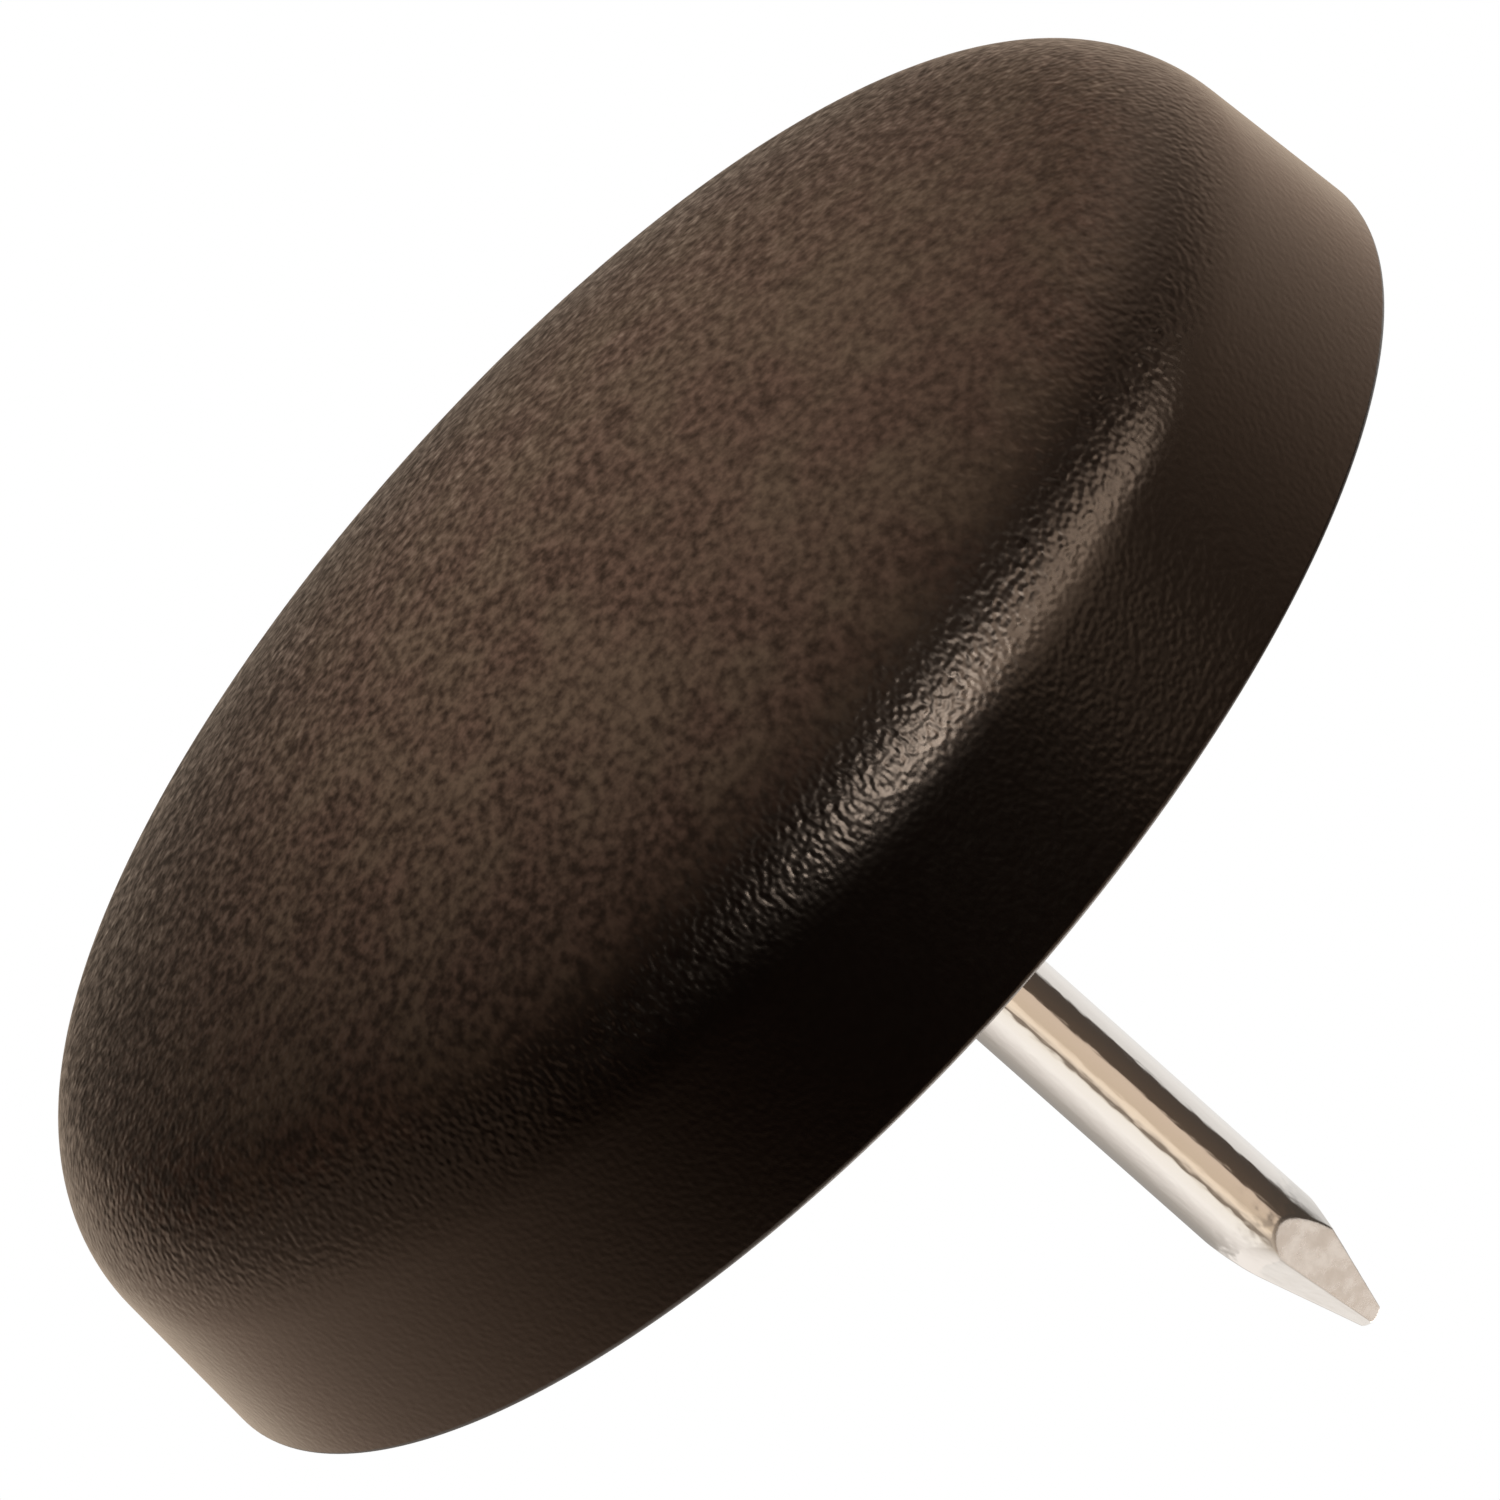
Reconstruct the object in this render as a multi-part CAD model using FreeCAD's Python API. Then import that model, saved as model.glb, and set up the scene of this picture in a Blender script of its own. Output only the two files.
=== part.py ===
import FreeCAD, Part
import math
import os

# Nail on furniture glide: a moulded pad with a wire nail set in its back.
# The glide face is down and its lowest point is the origin; the nail points up, along +Z.
# All lengths are in millimetres and all angles in degrees.

# Pad
pad_diameter = 28.0
pad_height = 7.0
wall_draft = 4.9
glide_face_radius = 45.0
shoulder_radius = 2.8
back_edge_radius = 0.12

# Nail: its shank past the back of the pad, and its head inside the pad
nail_diameter = 1.8
nail_reach = 14.7
head_diameter = 4.2
head_thickness = 0.8
head_edge_radius = 0.2
cover_under_head = 1.7

# Rings that key the shank into the plastic, from the pad's back down to a plain neck over the head
ring_pitch = 0.9
ring_depth = 0.15
plain_neck = 0.5

# Point of the nail: a blunt round end, pinched flat on four sides, with a fifth facet on one corner.
# Each facet has its turn about the shank, its lean from the shank's axis, and its distance from
# that axis at the end.
end_radius = 0.30
end_cone_lean = 65.0
point_facets = [
    (-102.0, 14.5, 0.14),
    (-50.0, 15.8, 0.12),
    (6.0, 12.8, 0.17),
    (84.0, 14.5, 0.20),
    (182.0, 14.9, 0.25),
]

origin = FreeCAD.Vector(0, 0, 0)
up = FreeCAD.Vector(0, 0, 1)
sideways = FreeCAD.Vector(0, 1, 0)

pad_radius = pad_diameter / 2
nail_radius = nail_diameter / 2
head_radius = head_diameter / 2
head_bottom = cover_under_head
head_top = head_bottom + head_thickness
nail_end = pad_height + nail_reach


def section_point(radius, height):
    """Point of a half section, which is turned about the Z axis."""
    return FreeCAD.Vector(radius, 0, height)


def arc_about(centre, start, end):
    """Shorter arc from start to end about their centre."""
    radius = (start - centre).Length
    towards_middle = ((start + end) * 0.5 - centre).normalize()
    return Part.Arc(start, centre + towards_middle * radius, end).toShape()


def turn_section(edges):
    """Solid turned from the closed half section that the edges make."""
    return Part.Face(Part.Wire(edges)).revolve(origin, up, 360)


def round_rim(solid, height, radius):
    """Round the circular edges that lie level at one height."""
    rims = [edge for edge in solid.Edges if edge.isClosed() and abs(edge.CenterOfMass.z - height) < 1e-6]
    return solid.makeFillet(radius, rims)


def make_blank_pad():
    """Pad with its domed face, round shoulder and drafted wall, before the nail is set in it."""
    draft = math.radians(wall_draft)
    wall_up = section_point(math.sin(draft), math.cos(draft))
    wall_outward = section_point(math.cos(draft), -math.sin(draft))
    back_centre = section_point(0, pad_height)
    back_corner = section_point(pad_radius, pad_height)
    dome_centre = section_point(0, glide_face_radius)

    # The shoulder's arc touches the wall and the dome from the inside
    dome_to_inset = back_corner - wall_outward * shoulder_radius - dome_centre
    dome_to_shoulder = glide_face_radius - shoulder_radius
    along_wall = dome_to_inset.dot(wall_up)
    wall_length = along_wall + math.sqrt(
        along_wall ** 2 - dome_to_inset.dot(dome_to_inset) + dome_to_shoulder ** 2)
    shoulder_centre = dome_centre + dome_to_inset - wall_up * wall_length
    wall_foot = back_corner - wall_up * wall_length
    dome_rim = dome_centre + (shoulder_centre - dome_centre).normalize() * glide_face_radius

    pad = turn_section([
        arc_about(dome_centre, origin, dome_rim),
        arc_about(shoulder_centre, dome_rim, wall_foot),
        Part.makeLine(wall_foot, back_corner),
        Part.makeLine(back_corner, back_centre),
        Part.makeLine(back_centre, origin),
    ])
    return round_rim(pad, pad_height, back_edge_radius)


def make_nail_blank():
    """Turned form of the nail: head, ringed stretch, shank and blunt round end."""
    corners = [
        section_point(0, head_bottom),
        section_point(head_radius, head_bottom),
        section_point(head_radius, head_top),
        section_point(nail_radius, head_top),
    ]
    ring_count = int((pad_height - head_top - plain_neck) / ring_pitch)
    for ring in range(ring_count, 0, -1):
        ring_foot = pad_height - ring * ring_pitch
        corners.append(section_point(nail_radius, ring_foot))
        corners.append(section_point(nail_radius - ring_depth, ring_foot + ring_pitch / 2))
    corners.append(section_point(nail_radius, pad_height))

    lean = math.radians(end_cone_lean)
    end_centre = section_point(0, nail_end - end_radius)
    cone_top = end_centre + section_point(math.cos(lean), math.sin(lean)) * end_radius
    cone_height = (nail_radius - cone_top.x) / math.tan(lean)
    corners.append(section_point(nail_radius, cone_top.z - cone_height))
    corners.append(cone_top)

    tip = section_point(0, nail_end)
    edges = [Part.makeLine(start, end) for start, end in zip(corners, corners[1:])]
    edges.append(arc_about(end_centre, cone_top, tip))
    edges.append(Part.makeLine(tip, corners[0]))
    return round_rim(turn_section(edges), head_bottom, head_edge_radius)


def make_facet_cutter(turn, lean, end_distance):
    """Block whose inner face lies on one facet of the point."""
    block = Part.makeBox(nail_reach, nail_reach, nail_reach)
    block.translate(FreeCAD.Vector(0, -nail_reach / 2, -nail_reach / 2))
    block.rotate(origin, sideways, -lean)
    block.translate(section_point(end_distance, nail_end))
    block.rotate(origin, up, turn)
    return block


def make_nail():
    """Nail with its pinched point."""
    nail = make_nail_blank()
    for turn, lean, end_distance in point_facets:
        nail = nail.cut(make_facet_cutter(turn, lean, end_distance))
    return nail.Solids[0]


nail = make_nail()
glide_pad = make_blank_pad().cut(nail).Solids[0]

os.makedirs("parts", exist_ok=True)
glide_pad.exportStep("parts/glide_pad.step")
nail.exportStep("parts/nail.step")
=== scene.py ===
import math

import bmesh
import bpy
from mathutils import Matrix, Vector


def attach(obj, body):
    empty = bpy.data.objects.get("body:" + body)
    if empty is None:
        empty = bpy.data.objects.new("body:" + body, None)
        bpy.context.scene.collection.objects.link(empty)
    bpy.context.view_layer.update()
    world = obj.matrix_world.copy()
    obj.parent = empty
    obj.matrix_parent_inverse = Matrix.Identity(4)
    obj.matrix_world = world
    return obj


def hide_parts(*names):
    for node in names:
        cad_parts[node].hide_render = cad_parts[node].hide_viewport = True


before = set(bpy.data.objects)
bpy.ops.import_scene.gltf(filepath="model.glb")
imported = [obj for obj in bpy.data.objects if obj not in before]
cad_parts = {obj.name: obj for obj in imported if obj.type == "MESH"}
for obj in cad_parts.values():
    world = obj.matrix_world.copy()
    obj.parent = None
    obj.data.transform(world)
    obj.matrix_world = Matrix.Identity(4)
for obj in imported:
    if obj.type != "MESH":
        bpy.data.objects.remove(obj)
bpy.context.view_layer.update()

scene = bpy.context.scene
scene.view_settings.view_transform = "Standard"
mm = 0.001
print("frame loaded:", ", ".join(sorted(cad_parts)))


# small helpers for node trees

def feed(tree, value, socket):
    if isinstance(value, bpy.types.NodeSocket):
        tree.links.new(value, socket)
    else:
        socket.default_value = value


def addNode(tree, kind, inputs=None, **settings):
    made = tree.nodes.new(kind)
    for name, value in settings.items():
        setattr(made, name, value)
    for name, value in (inputs or {}).items():
        feed(tree, value, made.inputs[name])
    return made


def calc(tree, operation, *values):
    made = addNode(tree, "ShaderNodeMath", operation=operation)
    for value, socket in zip(values, made.inputs):
        feed(tree, value, socket)
    return made.outputs[0]


def vector(tree, x, y):
    return addNode(tree, "ShaderNodeCombineXYZ", {"X": x, "Y": y}).outputs[0]


def fade(tree, value, fromLow, fromHigh, toLow=0.0, toHigh=1.0):  # smooth step between two values
    ranges = {"Value": value, "From Min": fromLow, "From Max": fromHigh, "To Min": toLow, "To Max": toHigh}
    return addNode(tree, "ShaderNodeMapRange", ranges, interpolation_type="SMOOTHSTEP").outputs["Result"]


def mixColours(tree, factor, first, second):
    made = addNode(tree, "ShaderNodeMix", data_type="RGBA")
    for name, value in (("Factor", factor), ("A", first), ("B", second)):
        socket = next(s for s in made.inputs if s.name == name and s.enabled)
        feed(tree, value, socket)
    return next(s for s in made.outputs if s.enabled)


def layOut(tree, columnWidth=220, rowHeight=170):  # columns by distance from the output
    queue = [n for n in tree.nodes if not any(s.is_linked for s in n.outputs)]
    depth = {n.name: 0 for n in queue}
    columns = {}
    while queue:
        current = queue.pop()
        for socket in current.inputs:
            for link in socket.links:
                if depth.get(link.from_node.name, -1) < depth[current.name] + 1:
                    depth[link.from_node.name] = depth[current.name] + 1
                    queue.append(link.from_node)
    for node in tree.nodes:
        column = depth.get(node.name, 0)
        columns[column] = columns.get(column, 0) + 1
        node.location = (-columnWidth * column, -rowHeight * columns[column])


# camera: the photograph looks up at the glide face, so it stands below the floor and is rolled
cameraSet = {
    "lens": 234.2,               # mm, on a 36 mm sensor
    "aim": (-0.23, 0.33, 6.08),  # mm
    "distance": 166.3,           # mm
    "nearest": 10.0,             # mm
    "lookUp": 19.76,             # degrees
    "roll": 131.66,              # degrees, so that the nail points down to the right
}


def makeCamera(s):
    data = bpy.data.cameras.new("camera")
    data.lens = s["lens"]
    data.clip_start = s["nearest"] * mm
    tilt = Matrix.Rotation(math.radians(90 + s["lookUp"]), 4, "X")
    turn = tilt @ Matrix.Rotation(math.radians(s["roll"]), 4, "Z")
    camera = bpy.data.objects.new("camera", data)
    stepBack = Matrix.Translation((0, 0, s["distance"] * mm))
    camera.matrix_world = Matrix.Translation(Vector(s["aim"]) * mm) @ turn @ stepBack
    scene.collection.objects.link(camera)
    scene.camera = camera


makeCamera(cameraSet)
print("camera set")


# shared finish: fine speckle, for the mould's grain and for the pinched steel
speckleSet = {
    "fleckDetail": 2.0,   # octaves
    "cloudScale": 0.12,   # clouds are this much coarser than the grain
    "cloudDetail": 3.0,
}


def buildSpeckle(s):
    group = bpy.data.node_groups.new("fineSpeckle", "ShaderNodeTree")
    group.interface.new_socket("Position", in_out="INPUT", socket_type="NodeSocketVector")
    for name in ("Grain Per Metre", "Relief Scale"):
        group.interface.new_socket(name, in_out="INPUT", socket_type="NodeSocketFloat")
    for name in ("Height", "Fleck", "Cloud"):
        group.interface.new_socket(name, in_out="OUTPUT", socket_type="NodeSocketFloat")
    given = addNode(group, "NodeGroupInput").outputs

    def noise(scale, detail):
        made = addNode(group, "ShaderNodeTexNoise", {
            "Vector": given["Position"], "Scale": scale, "Detail": detail})
        return made.outputs["Fac"]

    perMetre = given["Grain Per Metre"]
    addNode(group, "NodeGroupOutput", {
        "Height": noise(calc(group, "MULTIPLY", perMetre, given["Relief Scale"]), 0.0),
        "Fleck": noise(perMetre, s["fleckDetail"]),
        "Cloud": noise(calc(group, "MULTIPLY", perMetre, s["cloudScale"]), s["cloudDetail"]),
    })
    layOut(group)
    return group


def addSpeckle(tree, position, perMetre, reliefScale):
    made = addNode(tree, "ShaderNodeGroup", node_tree=speckle)
    feed(tree, position, made.inputs["Position"])
    feed(tree, perMetre, made.inputs["Grain Per Metre"])
    feed(tree, reliefScale, made.inputs["Relief Scale"])
    return made.outputs


speckle = buildSpeckle(speckleSet)


# pad plastic, by height up the pad
plasticSet = {
    "paleBrown": (0.108, 0.0645, 0.0460, 1.0),     # tops of the grain
    "oliveBrown": (0.101, 0.0670, 0.0450, 1.0),    # the same, in clouds
    "brown": (0.018, 0.0104, 0.0071, 1.0),         # between them
    "wallBrownAndShade": (0.012, 0.0064, 0.0045, 1.0),     # side and back, far darker than the face: partly its smoother plastic, partly painted shade
    "sheen": (1.0, 0.86, 0.74, 1.0),
    "ior": 1.47,
    "paleEnds": (1.8 * mm, 2.7 * mm),              # where the grain's tones give way to the wall's darker brown, which is partly painted shade
    "faceEnds": (0.4 * mm, 2.6 * mm),              # from the face into the shoulder
    "grainEnds": (2.7 * mm, 3.9 * mm),             # from the shoulder into the wall
    "backStarts": (6.86 * mm, 6.99 * mm),
    "grainPerMetre": 5500.0,
    "grainDraw": (1.0, 0.6, 0.9),                  # the grain is a little longer front to back
    "toneRange": (0.18, 0.82),
    "cloudRange": (0.35, 0.65), "cloudShare": 0.25,
    "paintedShadeSpreadEnds": (-8.0 * mm, 12.0 * mm),           # painted light and shade: the grain's tones spread wider towards +X
    "crisp": (0.8, 1.5),
    "grainDepth": 25.0e-6,                         # metres
    "reliefScale": 1.8,                            # the relief is finer than the tones
    "faceRelief": 0.38, "wallGrain": 0.23,         # shares of the shoulder's relief
    "roughSpread": (0.9, 0.25),                    # on the face and on the shoulder
    "faceRough": 0.56, "shoulderRough": 0.34, "wallRough": 0.24, "backRough": 0.45,
}


def makePlastic(s):
    material = bpy.data.materials.new("padPlastic")
    material.use_nodes = True
    tree = material.node_tree
    shader = tree.nodes["Principled BSDF"]
    place = addNode(tree, "ShaderNodeTexCoord").outputs["Object"]
    split = addNode(tree, "ShaderNodeSeparateXYZ", {"Vector": place}).outputs
    height = split["Z"]
    drawn = addNode(tree, "ShaderNodeMapping", {"Vector": place, "Scale": s["grainDraw"]}).outputs[0]
    grain = addSpeckle(tree, drawn, s["grainPerMetre"], s["reliefScale"])
    fleck = calc(tree, "SUBTRACT", grain["Fleck"], 0.5)
    grained = fade(tree, height, *s["grainEnds"], 1.0, s["wallGrain"])

    # roughness: face, shoulder, wall and back, broken up by the flecks
    rough = fade(tree, height, *s["faceEnds"], s["faceRough"], s["shoulderRough"])
    towardsWall = fade(tree, height, *s["grainEnds"], 0.0, s["wallRough"] - s["shoulderRough"])
    towardsBack = fade(tree, height, *s["backStarts"], 0.0, s["backRough"] - s["wallRough"])
    rough = calc(tree, "ADD", calc(tree, "ADD", rough, towardsWall), towardsBack)
    spread = calc(tree, "MULTIPLY", fleck, fade(tree, height, *s["faceEnds"], *s["roughSpread"]))
    spread = calc(tree, "MULTIPLY", spread, grained)
    feed(tree, calc(tree, "SUBTRACT", rough, spread), shader.inputs["Roughness"])

    # colour: pale tops on brown, in clouds
    cloud = calc(tree, "MULTIPLY_ADD", grain["Cloud"], s["cloudShare"], -0.5 * s["cloudShare"])
    # painted light and shade: the grain's tones spread wider towards +X
    crisp = fade(tree, split["X"], *s["paintedShadeSpreadEnds"], *s["crisp"])
    tone = calc(tree, "MULTIPLY_ADD", calc(tree, "ADD", fleck, cloud), crisp, 0.5)
    tone = fade(tree, tone, *s["toneRange"])
    olive = fade(tree, grain["Cloud"], *s["cloudRange"])
    tops = mixColours(tree, olive, s["paleBrown"], s["oliveBrown"])
    grainTone = mixColours(tree, tone, s["brown"], tops)
    # the wall's darker brown is partly painted shade
    wallShadeShare = fade(tree, height, *s["paleEnds"])
    feed(tree, mixColours(tree, wallShadeShare, grainTone, s["wallBrownAndShade"]), shader.inputs["Base Color"])

    # relief: flatter on the face, where it slides
    raised = fade(tree, height, *s["faceEnds"], s["faceRelief"], 1.0)
    relief = calc(tree, "MULTIPLY", calc(tree, "MULTIPLY", grain["Height"], grained), raised)
    bump = addNode(tree, "ShaderNodeBump", {"Height": relief, "Distance": s["grainDepth"]})
    feed(tree, bump.outputs["Normal"], shader.inputs["Normal"])
    shader.inputs["IOR"].default_value = s["ior"]
    shader.inputs["Specular Tint"].default_value = s["sheen"]
    layOut(tree)
    return material


# pad: half section drawn in the XY plane, then turned about the nail's axis
padSet = {
    "Pad Diameter": 28.0 * mm,
    "Pad Height": 7.0 * mm,
    "Wall Draft": math.radians(4.9),
    "Dome Radius": 45.0 * mm,
    "Shoulder Radius": 2.8 * mm,
    "Rim Radius": 0.12 * mm,
    "Nail Radius": 0.9 * mm,      # hole for the shank
    "Head Radius": 2.1 * mm,      # pocket for the head
    "Head Bottom": 1.7 * mm,
    "Head Top": 2.5 * mm,
    "Turn Steps": 320,
    "Arc Steps": 28,
    "Wall Steps": 10,
    "Back Steps": 12,
    "Crisp Angle": math.radians(40),
    "Seam Width": 0.001 * mm,     # points closer than this are merged
}


def buildPadTree():
    tree = bpy.data.node_groups.new("turnedPad", "GeometryNodeTree")
    for name, value in padSet.items():
        kind = "NodeSocketInt" if isinstance(value, int) else "NodeSocketFloat"
        tree.interface.new_socket(name, in_out="INPUT", socket_type=kind)
    tree.interface.new_socket("Plastic", in_out="INPUT", socket_type="NodeSocketMaterial")
    tree.interface.new_socket("Pad", in_out="OUTPUT", socket_type="NodeSocketGeometry")
    given = addNode(tree, "NodeGroupInput").outputs

    def add(first, second):
        return calc(tree, "ADD", first, second)

    def sub(first, second):
        return calc(tree, "SUBTRACT", first, second)

    def mul(first, second):
        return calc(tree, "MULTIPLY", first, second)

    radius, height = mul(given["Pad Diameter"], 0.5), given["Pad Height"]
    dome, shoulder, rim = given["Dome Radius"], given["Shoulder Radius"], given["Rim Radius"]
    cosDraft = calc(tree, "COSINE", given["Wall Draft"])
    sinDraft = calc(tree, "SINE", given["Wall Draft"])

    # shoulder centre: on the line inset from the wall, and tangent inside the dome
    insetX = sub(radius, mul(shoulder, cosDraft))
    insetY = sub(add(height, mul(shoulder, sinDraft)), dome)
    along = add(mul(insetX, sinDraft), mul(insetY, cosDraft))
    square = add(mul(insetX, insetX), mul(insetY, insetY))
    innerDome = sub(dome, shoulder)
    under = add(sub(mul(along, along), square), mul(innerDome, innerDome))
    reach = add(along, calc(tree, "SQRT", under))
    shoulderX = sub(insetX, mul(reach, sinDraft))
    shoulderY = sub(add(dome, insetY), mul(reach, cosDraft))
    domeAngle = calc(tree, "ARCTAN2", shoulderX, sub(dome, shoulderY))
    wallAngle = sub(math.pi / 2, given["Wall Draft"])
    rimX = sub(radius, calc(tree, "DIVIDE", mul(rim, add(sinDraft, 1.0)), cosDraft))
    rimY = sub(height, rim)

    def arc(x, y, size, start, end):  # angles from straight down
        bow = addNode(tree, "GeometryNodeCurveArc", {
            "Resolution": given["Arc Steps"], "Radius": size,
            "Start Angle": sub(start, math.pi / 2), "Sweep Angle": sub(end, start)})
        placed = addNode(tree, "GeometryNodeTransform", {
            "Geometry": bow.outputs[0], "Translation": vector(tree, x, y)})
        return placed.outputs[0]

    def line(x0, y0, x1, y1, steps=2):
        run = addNode(tree, "GeometryNodeCurvePrimitiveLine", {
            "Start": vector(tree, x0, y0), "End": vector(tree, x1, y1)})
        divided = addNode(tree, "GeometryNodeResampleCurve", {"Curve": run.outputs[0], "Count": steps})
        return divided.outputs[0]

    bore, head = given["Nail Radius"], given["Head Radius"]
    headTop, headBottom = given["Head Top"], given["Head Bottom"]
    stretches = [
        arc(0.0, dome, dome, 0.0, domeAngle),
        arc(shoulderX, shoulderY, shoulder, domeAngle, wallAngle),
        line(add(shoulderX, mul(shoulder, cosDraft)), sub(shoulderY, mul(shoulder, sinDraft)),
             add(rimX, mul(rim, cosDraft)), sub(rimY, mul(rim, sinDraft)), given["Wall Steps"]),
        arc(rimX, rimY, rim, wallAngle, math.pi),
        line(rimX, height, bore, height, given["Back Steps"]),
        line(bore, height, bore, headTop),
        line(bore, headTop, head, headTop),
        line(head, headTop, head, headBottom),
        line(head, headBottom, 0.0, headBottom),
    ]

    # the stretches become one curve, point after point
    joined = addNode(tree, "GeometryNodeJoinGeometry")
    part = addNode(tree, "GeometryNodeSplineParameter").outputs["Factor"]
    for number, stretch in enumerate(stretches):
        order = calc(tree, "MULTIPLY_ADD", part, 0.5, float(number))
        marked = addNode(tree, "GeometryNodeStoreNamedAttribute", {
            "Geometry": stretch, "Name": "order", "Value": order})
        tree.links.new(marked.outputs[0], joined.inputs[0])
    dots = addNode(tree, "GeometryNodeCurveToPoints", {"Curve": joined.outputs[0]}, mode="EVALUATED")
    weight = addNode(tree, "GeometryNodeInputNamedAttribute", {"Name": "order"}).outputs["Attribute"]
    section = addNode(tree, "GeometryNodePointsToCurves", {
        "Points": dots.outputs["Points"], "Weight": weight})

    # turned round a circle of the pad's own radius, then set right way up
    inset = addNode(tree, "GeometryNodeTransform", {
        "Geometry": section.outputs[0], "Translation": vector(tree, mul(radius, -1.0), 0.0)})
    circle = addNode(tree, "GeometryNodeCurvePrimitiveCircle", {
        "Resolution": given["Turn Steps"], "Radius": radius})
    turned = addNode(tree, "GeometryNodeCurveToMesh", {
        "Curve": circle.outputs["Curve"], "Profile Curve": inset.outputs[0]})
    upright = addNode(tree, "GeometryNodeTransform", {
        "Geometry": turned.outputs[0], "Rotation": (math.pi, 0.0, 0.0)})
    closed = addNode(tree, "GeometryNodeMergeByDistance", {
        "Geometry": upright.outputs[0], "Distance": given["Seam Width"]})
    bare = addNode(tree, "GeometryNodeRemoveAttribute", {"Geometry": closed.outputs[0], "Name": "order"})

    # smooth, apart from the sharp corners of the nail's seat
    smooth = addNode(tree, "GeometryNodeSetShadeSmooth", {"Geometry": bare.outputs[0]})
    edge = addNode(tree, "GeometryNodeInputMeshEdgeAngle").outputs["Unsigned Angle"]
    corner = addNode(tree, "FunctionNodeCompare", {
        "A": edge, "B": given["Crisp Angle"]}, operation="GREATER_THAN")
    crisp = addNode(tree, "GeometryNodeSetShadeSmooth", {
        "Geometry": smooth.outputs[0], "Selection": corner.outputs[0],
        "Shade Smooth": False}, domain="EDGE")
    whole = addNode(tree, "GeometryNodeRealizeInstances", {"Geometry": crisp.outputs[0]})
    dressed = addNode(tree, "GeometryNodeSetMaterial", {
        "Geometry": whole.outputs[0], "Material": given["Plastic"]})
    addNode(tree, "NodeGroupOutput", {"Pad": dressed.outputs[0]})
    layOut(tree)
    return tree


def bakeNodes(name, tree, values):  # runs the tree once and keeps its result as a plain mesh
    piece = bpy.data.objects.new(name, bpy.data.meshes.new(name))
    scene.collection.objects.link(piece)
    modifier = piece.modifiers.new("nodes", "NODES")
    modifier.node_group = tree
    sockets = {item.name: item.identifier for item in tree.interface.items_tree if item.in_out == "INPUT"}
    for label, value in values.items():
        modifier[sockets[label]] = value
    solved = piece.evaluated_get(bpy.context.evaluated_depsgraph_get())
    mesh = bpy.data.meshes.new_from_object(solved)
    piece.modifiers.remove(modifier)
    piece.data = mesh
    mesh.name = name
    return piece


pad = bakeNodes("pad", buildPadTree(), {**padSet, "Plastic": makePlastic(plasticSet)})
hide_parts("glide_pad")
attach(pad, "root")
print("pad turned:", len(pad.data.polygons), "faces")


# nail steel: bright drawn wire, duller in patches where it is pinched
steelSet = {
    "steel": (0.83, 0.81, 0.785, 1.0),
    "dullSteel": (0.635, 0.592, 0.545, 1.0),
    "shankRough": 0.09, "pinchRough": 0.32, "lineRough": 0.08,
    "patchRange": (0.35, 0.65), "patchShare": 0.4,
    "linesPerMetre": 7000.0, "lineLength": 0.02,   # share of the width scale kept along the wire
    "lineDetail": 3.0, "lineBreaks": 0.6,
    "dentsPerMetre": 7000.0, "dentLength": 0.35,
    "dentDetail": 1.0, "dentBreaks": 0.5,
    "lineDepth": 1.6e-6, "dentDepth": 5.5e-6, "pinchDepth": 1.4e-6,   # metres
    "pinchGrain": 20000.0,                         # per metre
}


def makeSteel(s):
    material = bpy.data.materials.new("nailSteel")
    material.use_nodes = True
    tree = material.node_tree
    shader = tree.nodes["Principled BSDF"]
    place = addNode(tree, "ShaderNodeTexCoord").outputs["Object"]
    pinch = addNode(tree, "ShaderNodeAttribute", attribute_name="pinch").outputs["Fac"]
    grain = addSpeckle(tree, place, s["pinchGrain"], 1.0)

    def alongWire(length, perMetre, detail, breaks):   # noise drawn out along the wire
        drawn = addNode(tree, "ShaderNodeMapping", {"Vector": place, "Scale": (1.0, 1.0, length)})
        made = addNode(tree, "ShaderNodeTexNoise", {
            "Vector": drawn.outputs[0], "Scale": perMetre, "Detail": detail, "Roughness": breaks})
        return made.outputs["Fac"]

    lines = alongWire(s["lineLength"], s["linesPerMetre"], s["lineDetail"], s["lineBreaks"])
    dents = alongWire(s["dentLength"], s["dentsPerMetre"], s["dentDetail"], s["dentBreaks"])

    patch = fade(tree, grain["Cloud"], *s["patchRange"])
    patch = calc(tree, "MULTIPLY_ADD", patch, s["patchShare"], 1 - s["patchShare"])
    dull = calc(tree, "MULTIPLY", pinch, patch)
    feed(tree, mixColours(tree, dull, s["steel"], s["dullSteel"]), shader.inputs["Base Color"])
    rough = calc(tree, "MULTIPLY_ADD", dull, s["pinchRough"] - s["shankRough"], s["shankRough"])
    rough = calc(tree, "SUBTRACT", rough, 0.5 * s["lineRough"])
    feed(tree, calc(tree, "MULTIPLY_ADD", lines, s["lineRough"], rough), shader.inputs["Roughness"])

    relief = calc(tree, "MULTIPLY", dents, s["dentDepth"])
    relief = calc(tree, "MULTIPLY_ADD", lines, s["lineDepth"], relief)
    pinched = calc(tree, "MULTIPLY", grain["Height"], pinch)
    relief = calc(tree, "ADD", relief, calc(tree, "MULTIPLY", pinched, s["pinchDepth"]))
    bump = addNode(tree, "ShaderNodeBump", {"Height": relief, "Distance": 1.0})
    feed(tree, bump.outputs["Normal"], shader.inputs["Normal"])
    shader.inputs["Metallic"].default_value = 1.0
    layOut(tree)
    return material


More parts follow.
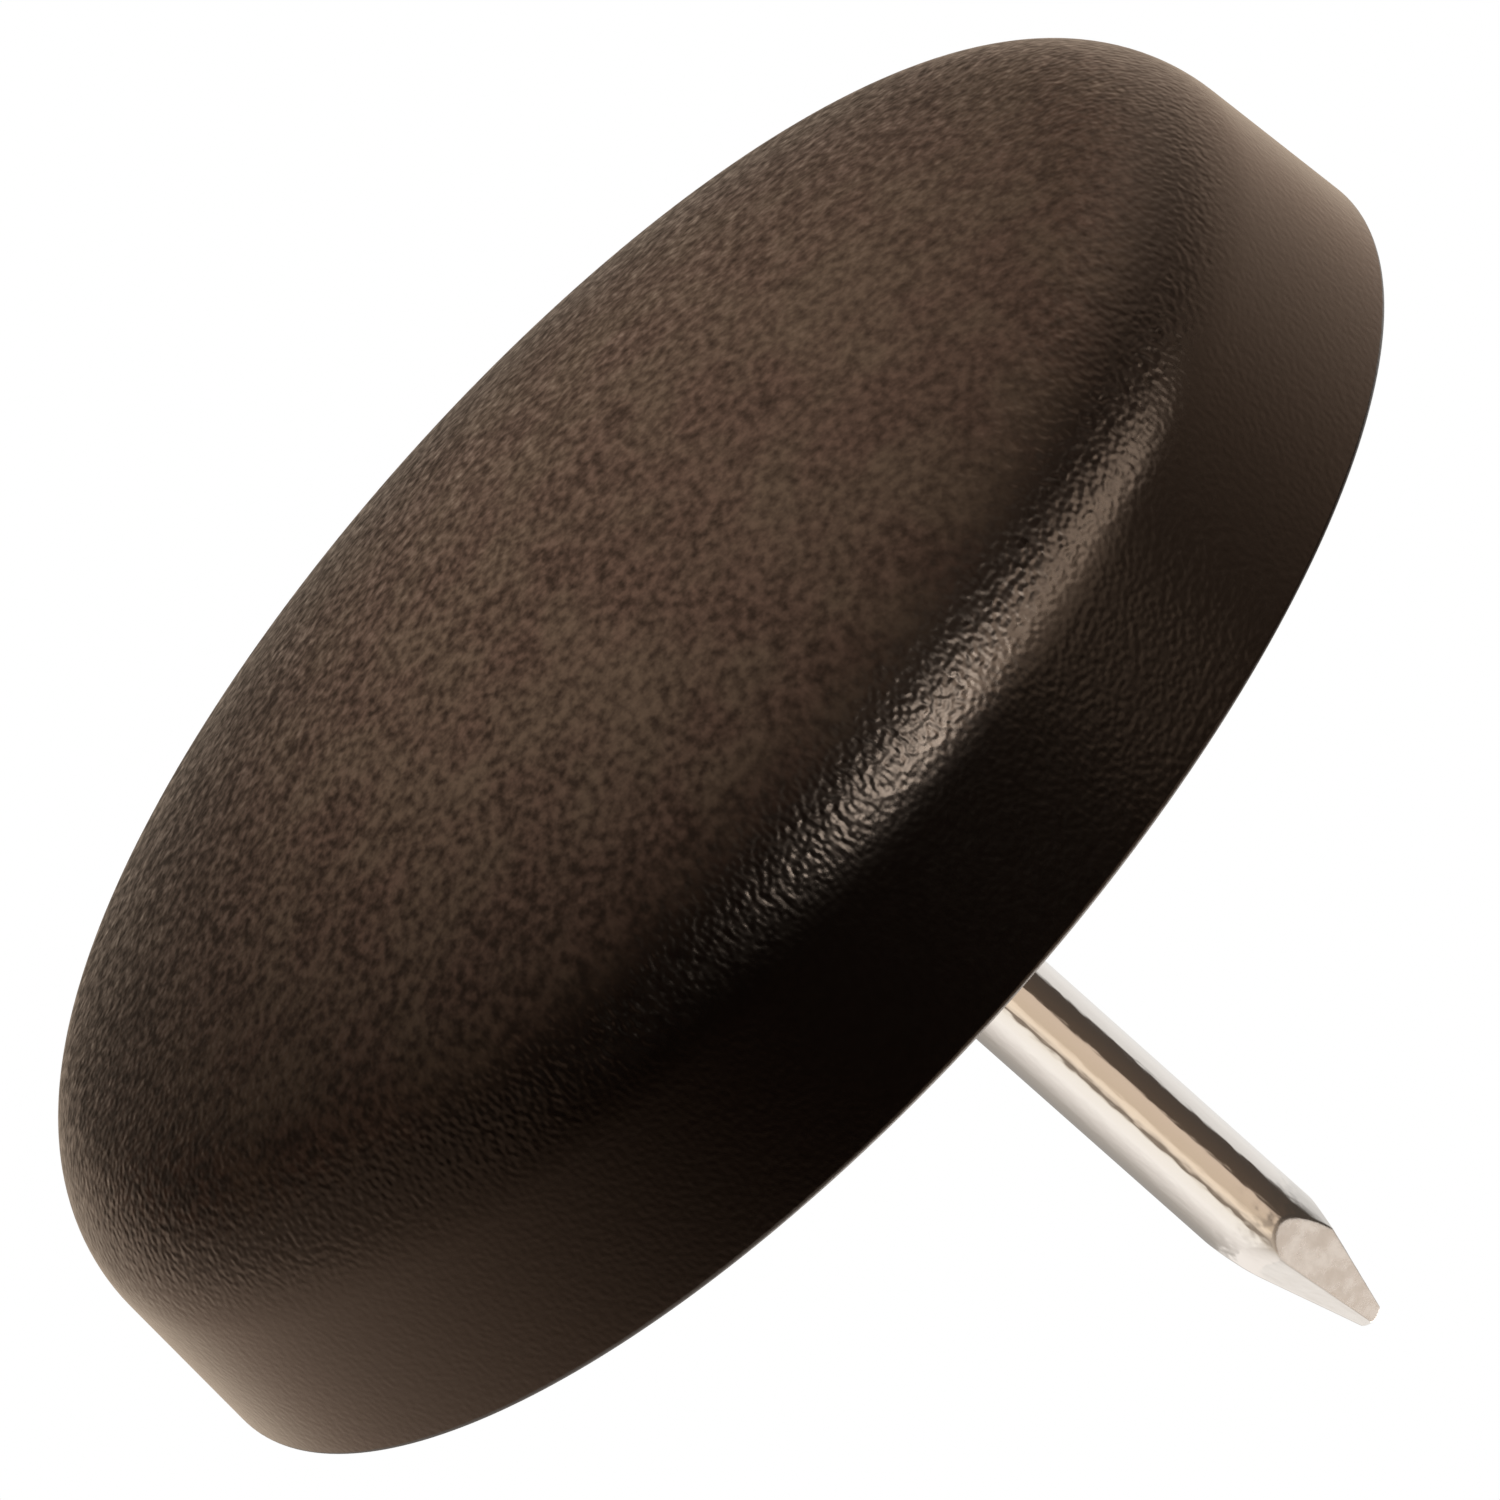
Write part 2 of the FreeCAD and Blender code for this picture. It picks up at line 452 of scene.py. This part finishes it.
# nail: turned head and rings inside the pad, then bare wire, pinched flat at the point
nailSet = {
    # mm and degrees
    "wireRadius": 0.9, "footHeight": 7.0, "endHeight": 21.7,
    "headRadius": 2.1, "headBottom": 1.7, "headTop": 2.5, "headRound": 0.2,
    "ringPitch": 0.9, "ringDepth": 0.15, "rings": 4,
    "endRound": 0.30, "endLean": 65.0,
    "pinches": [   # turn, lean, gap at the end, how dull, how soft its edges are
        (-50.0, 15.8, 0.12, 0.15, 0.09),
        (6.0, 12.8, 0.17, 0.15, 0.06),
        (84.0, 14.5, 0.20, 0.8, 0.02),
        (182.0, 14.9, 0.25, 0.6, 0.015),
        (-102.0, 14.5, 0.14, 1.0, 0.015),
    ],
    "pinchStart": 17.9,
    "turnSteps": 192, "roundSteps": 10, "pinchSteps": 190,
    "crowding": 1.5,   # brings the rows closer together towards the end
    "edgeOn": 0.05,    # cosine of the widest turn from a pinch that it still cuts
}


def heldSection(s):   # head and rings, up to the back of the pad
    wire, headRim = s["wireRadius"], s["headRadius"] - s["headRound"]
    dots = [(0.0, s["headBottom"])]
    for step in range(s["roundSteps"] + 1):
        angle = math.pi / 2 * step / s["roundSteps"]
        outward, upward = math.sin(angle), 1 - math.cos(angle)
        dots.append((headRim + s["headRound"] * outward, s["headBottom"] + s["headRound"] * upward))
    dots += [(s["headRadius"], s["headTop"]), (wire, s["headTop"])]
    for ring in range(s["rings"], 0, -1):
        foot = s["footHeight"] - ring * s["ringPitch"]
        dots += [(wire, foot), (wire - s["ringDepth"], foot + s["ringPitch"] / 2)]
    return dots


def bareHeights(s):   # close together where the point is pinched
    middle = s["endHeight"] - s["endRound"]
    lean = math.radians(s["endLean"])
    roundStart = middle + s["endRound"] * math.sin(lean)
    heights = [s["footHeight"]]
    for step in range(s["pinchSteps"] + 1):
        left = 1 - step / s["pinchSteps"]
        heights.append(roundStart - (roundStart - s["pinchStart"]) * left ** s["crowding"])
    for step in range(1, s["roundSteps"]):
        angle = lean + (math.pi / 2 - lean) * step / s["roundSteps"]
        heights.append(middle + s["endRound"] * math.sin(angle))
    return heights


def bluntRadius(s, height):   # the wire and its blunt end, before it is pinched
    lean = math.radians(s["endLean"])
    above = height - s["endHeight"] + s["endRound"]
    coneFoot = s["endRound"] * math.sin(lean)
    if above > coneFoot:
        return math.sqrt(max(s["endRound"] ** 2 - above ** 2, 0.0))
    return min(s["wireRadius"], s["endRound"] * math.cos(lean) + (coneFoot - above) * math.tan(lean))


def pinchedRadius(s, turn, height):   # radius and dullness on one side of the wire
    radius, dull = bluntRadius(s, height), 0.0
    for around, lean, gap, dullness, soft in s["pinches"]:
        facing = math.cos(turn - math.radians(around))
        if facing > s["edgeOn"]:
            flat = (gap + (s["endHeight"] - height) * math.tan(math.radians(lean))) / facing
            dull += (dullness - dull) * min(max(0.5 + 0.5 * (radius - flat) / soft, 0.0), 1.0)
            rounding = max(soft - abs(radius - flat), 0.0) ** 2 / (4 * soft)
            radius = min(radius, flat) - rounding
    return radius, dull


def makeNail(s, material):
    mesh = bmesh.new()
    pinchLayer = mesh.verts.layers.float.new("pinch")
    turns = [2 * math.pi * i / s["turnSteps"] for i in range(s["turnSteps"])]
    held = heldSection(s)
    rows = [([(radius, 0.0)] * len(turns), height) for radius, height in held]
    rows += [([pinchedRadius(s, turn, height) for turn in turns], height) for height in bareHeights(s)]
    rows.append(([(0.0, 0.0)] * len(turns), s["endHeight"]))
    rings = []
    for sides, height in rows:
        closed = all(radius == 0 for radius, dull in sides)   # a pole has one point
        ring = []
        for turn, (radius, dull) in zip(turns[:1] if closed else turns, sides):
            across, along = math.cos(turn), math.sin(turn)
            vert = mesh.verts.new((radius * mm * across, radius * mm * along, height * mm))
            vert[pinchLayer] = dull
            ring.append(vert)
        rings.append(ring)
    for low, high in zip(rings, rings[1:]):
        for i in range(len(turns)):
            corners = [low[i % len(low)], low[(i + 1) % len(low)]]
            corners += [high[(i + 1) % len(high)], high[i % len(high)]]
            mesh.faces.new(list(dict.fromkeys(corners)))
    for ring in rings[:len(held) + 1]:   # crisp rings where the plastic holds the wire
        for edge in {edge for vert in ring for edge in vert.link_edges if edge.other_vert(vert) in ring}:
            edge.smooth = False
    bmesh.ops.recalc_face_normals(mesh, faces=mesh.faces[:])
    data = bpy.data.meshes.new("nail")
    mesh.to_mesh(data)
    mesh.free()
    data.materials.append(material)
    for face in data.polygons:
        face.use_smooth = True
    piece = bpy.data.objects.new("wireNail", data)
    scene.collection.objects.link(piece)
    return piece


nail = makeNail(nailSet, makeSteel(steelSet))
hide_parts("nail")
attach(nail, "root")
print("nail pinched:", len(nail.data.polygons), "faces")


# floor: pale from above, clear from below, where the camera stands
floorSet = {
    "size": 1.6, "fade": (0.25, 0.75),   # metres
    "colour": (0.77, 0.83, 0.92, 1.0), "rough": 0.7,
}


def makeFloor(s):
    grid = bmesh.new()
    bmesh.ops.create_grid(grid, x_segments=1, y_segments=1, size=s["size"] / 2)
    data = bpy.data.meshes.new("floor")
    grid.to_mesh(data)
    grid.free()
    floor = bpy.data.objects.new("floor", data)
    scene.collection.objects.link(floor)
    for ray in ("visible_diffuse", "visible_glossy", "visible_transmission", "visible_shadow"):
        setattr(floor, ray, False)   # the sole is lit through it
    material = bpy.data.materials.new("paleFloor")
    material.use_nodes = True
    tree = material.node_tree
    shader = tree.nodes["Principled BSDF"]
    shader.inputs["Base Color"].default_value = s["colour"]
    shader.inputs["Roughness"].default_value = s["rough"]
    place = addNode(tree, "ShaderNodeTexCoord").outputs["Object"]
    distance = addNode(tree, "ShaderNodeVectorMath", {0: place}, operation="LENGTH").outputs["Value"]
    away = fade(tree, distance, *s["fade"])
    below = addNode(tree, "ShaderNodeNewGeometry").outputs["Backfacing"]
    clear = calc(tree, "MAXIMUM", away, below)
    through = addNode(tree, "ShaderNodeBsdfTransparent")
    mixed = addNode(tree, "ShaderNodeMixShader", {0: clear, 1: shader.outputs[0], 2: through.outputs[0]})
    feed(tree, mixed.outputs[0], tree.nodes["Material Output"].inputs["Surface"])
    layOut(tree)
    data.materials.append(material)


# surround: white to the camera, warm to the object, brightest behind it
surroundSet = {
    "axis": (0.10, 0.936, 0.338),                  # about the way the photograph looks
    "fade": (-0.75, 0.40), "dark": 0.012,          # dark in front
    "lowFade": (-0.34, -0.03), "lowShare": 0.06,   # dimmer towards the ground
    "warm": (0.82, 0.60, 0.46, 1.0),
    "back": (0.95, 0.77, 0.60, 1.0), "backFade": (0.75, 1.0),
    "sideAxis": (0.97, 0.12, -0.20),               # warm card on the +X side
    "sideFade": (0.74, 0.91), "sideShare": 0.50,
    "white": (1.0, 1.0, 1.0, 1.0),
}


def makeSurround(s):
    world = bpy.data.worlds.new("surround")
    world.use_nodes = True
    tree = world.node_tree
    tree.nodes.clear()
    way = addNode(tree, "ShaderNodeTexCoord").outputs["Generated"]

    def towards(axis):
        made = addNode(tree, "ShaderNodeVectorMath", {0: way, 1: axis}, operation="DOT_PRODUCT")
        return made.outputs["Value"]

    behind = towards(s["axis"])
    up = addNode(tree, "ShaderNodeSeparateXYZ", {"Vector": way}).outputs["Z"]
    level = fade(tree, behind, *s["fade"], s["dark"], 1.0)
    level = calc(tree, "MULTIPLY", level, fade(tree, up, *s["lowFade"], s["lowShare"], 1.0))
    card = fade(tree, towards(s["sideAxis"]), *s["sideFade"], 0.0, s["sideShare"])
    level = calc(tree, "MAXIMUM", level, card)
    seen = addNode(tree, "ShaderNodeLightPath").outputs["Is Camera Ray"]
    colour = mixColours(tree, fade(tree, behind, *s["backFade"]), s["warm"], s["back"])
    colour = mixColours(tree, seen, colour, s["white"])
    strength = calc(tree, "MAXIMUM", level, seen)
    background = addNode(tree, "ShaderNodeBackground", {"Color": colour, "Strength": strength})
    addNode(tree, "ShaderNodeOutputWorld", {"Surface": background.outputs[0]})
    layOut(tree)
    scene.world = world


# soft boxes
boxSet = {
    # towards the lamp, its long side, width and height in metres, level, colour, lights matt surfaces
    "shoulderBox":   # the bright streak
        ((-0.29, -0.86, -0.42), (1, -0.3, 0.0), 0.12, 0.13, 0.54, (1.0, 0.93, 0.87), False),
    "shoulderTail":  # its end towards -X
        ((-0.72, -0.62, -0.23), (-0.6, 0.75, 0.28), 0.40, 0.095, 0.42, (1.0, 0.84, 0.72), False),
    "wallTail":
        ((-0.70, -0.71, -0.03), (0, 0, 1), 0.15, 0.17, 0.062, (1.0, 0.78, 0.62), False),
    "cornerBox":     # faint light on the -X shoulder
        ((-0.73, 0.43, -0.52), (-0.32, -0.68, -0.08), 0.34, 0.22, 0.090, (1.0, 0.76, 0.60), False),
    "lowBox":
        ((-0.32, -0.32, -0.89), (1, 0, 0), 0.26, 0.20, 0.030, (1.0, 0.84, 0.70), False),
    "overhead":
        ((0.10, 0.15, 0.98), (1, 0, 0), 0.30, 0.30, 0.75, (1.0, 0.98, 0.95), True),
}
lampDistance = 0.40     # metres
boxAim = (0, 0, 8.0)    # mm


def makeBoxes(boxes):
    middle = Vector(boxAim) * mm
    for name, (way, longSide, width, height, level, colour, matt) in boxes.items():
        lamp = bpy.data.lights.new(name, "AREA")
        lamp.shape = "RECTANGLE"
        lamp.size = width
        lamp.size_y = height
        lamp.energy = level * math.pi ** 2 * lampDistance ** 2   # level 1 shows a white card as white
        lamp.color = colour
        back = Vector(way).normalized()
        up = back.cross(Vector(longSide)).normalized()
        across = up.cross(back)
        box = bpy.data.objects.new(name, lamp)
        turn = Matrix((across, up, back)).transposed().to_4x4()
        box.matrix_world = Matrix.Translation(middle + back * lampDistance) @ turn
        box.visible_diffuse = matt
        box.visible_camera = False
        scene.collection.objects.link(box)


# one soft spot on the glide face, brightest off its middle
spotSet = {
    "way": (0.06, 0.28, -0.95),      # towards the lamp
    "aim": (-3.0, -2.3, 0.5),        # mm
    "pool": 13.8, "softness": 4.0,   # mm: radius on the face, and of the lamp
    "level": 1.40, "colour": (1.0, 0.98, 0.96),
}


def makeSpot(s):
    lamp = bpy.data.lights.new("soleSpot", "SPOT")
    lamp.energy = s["level"] * 4 * math.pi ** 2 * lampDistance ** 2
    lamp.spot_size = 2 * math.atan(s["pool"] * mm / lampDistance)
    lamp.spot_blend = 1.0
    lamp.shadow_soft_size = s["softness"] * mm
    lamp.color = s["colour"]
    spot = bpy.data.objects.new("soleSpot", lamp)
    back = Vector(s["way"]).normalized()
    turn = back.to_track_quat("Z", "Y").to_matrix().to_4x4()
    spot.matrix_world = Matrix.Translation(Vector(s["aim"]) * mm + back * lampDistance) @ turn
    spot.visible_camera = False
    spot.visible_glossy = False
    scene.collection.objects.link(spot)


# reflector bands round the nail, which only reflections see
# tones by degrees round the nail, from the front (-Y) towards -X
shankBand = {
    "name": "shankBand", "radius": 24.0, "low": 13.5, "high": 29.0, "steps": 120,   # mm
    "tones": [
        (-180, (0.36, 0.34, 0.32)), (-138, (0.38, 0.35, 0.32)), (-112, (0.46, 0.42, 0.38)),
        (-82, (0.80, 0.74, 0.69)), (-56, (1.10, 1.04, 0.98)), (-30, (1.06, 0.99, 0.90)),
        (-26, (0.90, 0.80, 0.68)), (-24, (0.24, 0.19, 0.15)), (-19, (0.28, 0.22, 0.17)),
        (-16, (0.74, 0.61, 0.49)), (-9, (1.02, 0.85, 0.67)), (-2, (0.98, 0.80, 0.62)),
        (3, (0.70, 0.55, 0.41)), (36, (0.74, 0.58, 0.45)), (40, (0.10, 0.07, 0.05)),
        (88, (0.07, 0.055, 0.045)), (93, (0.80, 0.77, 0.74)), (130, (0.94, 0.91, 0.88)),
        (180, (0.86, 0.85, 0.83)),
    ],
}
edgeBand = {   # seen in the rounded edges of the facets
    "name": "edgeBand", "radius": 24.0, "low": 29.0, "high": 41.0, "steps": 120,   # mm
    "tones": [
        (-180, (0.42, 0.40, 0.37)), (-150, (0.66, 0.62, 0.58)), (-125, (1.06, 1.00, 0.95)),
        (-90, (1.06, 1.00, 0.95)), (-50, (0.80, 0.74, 0.68)), (-20, (0.50, 0.42, 0.34)),
        (15, (0.28, 0.22, 0.17)), (38, (0.07, 0.055, 0.045)), (90, (0.06, 0.05, 0.04)),
        (112, (0.70, 0.68, 0.66)), (180, (0.90, 0.88, 0.85)),
    ],
}
pointBand = {   # seen in the facets
    "name": "pointBand", "radius": 24.0, "low": 41.0, "high": 62.0, "steps": 120,   # mm
    "tones": [
        (-180, (0.90, 0.88, 0.85)), (-100, (1.00, 0.96, 0.92)), (-60, (0.60, 0.55, 0.50)),
        (-20, (0.80, 0.72, 0.65)), (25, (1.06, 0.98, 0.91)), (70, (0.90, 0.83, 0.77)),
        (110, (0.45, 0.42, 0.40)), (180, (0.90, 0.88, 0.85)),
    ],
}


def makeBand(s):
    mesh = bmesh.new()
    radius = s["radius"] * mm
    rows = []
    for height in (s["low"], s["high"]):
        row = []
        for i in range(s["steps"]):
            angle = 2 * math.pi * i / s["steps"]
            row.append(mesh.verts.new((radius * math.cos(angle), radius * math.sin(angle), height * mm)))
        rows.append(row)
    for i in range(s["steps"]):
        j = (i + 1) % s["steps"]
        mesh.faces.new((rows[0][j], rows[0][i], rows[1][i], rows[1][j]))   # faces the nail
    data = bpy.data.meshes.new(s["name"])
    mesh.to_mesh(data)
    mesh.free()
    band = bpy.data.objects.new(s["name"], data)
    scene.collection.objects.link(band)
    for ray in ("visible_camera", "visible_diffuse", "visible_transmission", "visible_shadow"):
        setattr(band, ray, False)
    material = bpy.data.materials.new(s["name"] + "Tones")
    material.use_nodes = True
    tree = material.node_tree
    tree.nodes.clear()
    place = addNode(tree, "ShaderNodeTexCoord").outputs["Object"]
    split = addNode(tree, "ShaderNodeSeparateXYZ", {"Vector": place}).outputs
    leftward = calc(tree, "MULTIPLY", split["X"], -1.0)
    forward = calc(tree, "MULTIPLY", split["Y"], -1.0)
    turn = calc(tree, "ARCTAN2", leftward, forward)
    share = calc(tree, "MULTIPLY_ADD", turn, 0.5 / math.pi, 0.5)
    ramp = addNode(tree, "ShaderNodeValToRGB", {"Fac": share})
    stops = ramp.color_ramp.elements
    while len(stops) < len(s["tones"]):
        stops.new(0.5)
    for stop, (degrees, colour) in zip(stops, s["tones"]):
        stop.position = (degrees + 180) / 360
        stop.color = (*colour, 1.0)
    light = addNode(tree, "ShaderNodeEmission", {"Color": ramp.outputs["Color"]})
    addNode(tree, "ShaderNodeOutputMaterial", {"Surface": light.outputs[0]})
    layOut(tree)
    data.materials.append(material)


makeFloor(floorSet)
makeSurround(surroundSet)
makeBoxes(boxSet)
makeSpot(spotSet)
for bandSet in (shankBand, edgeBand, pointBand):
    makeBand(bandSet)
print("studio lit")
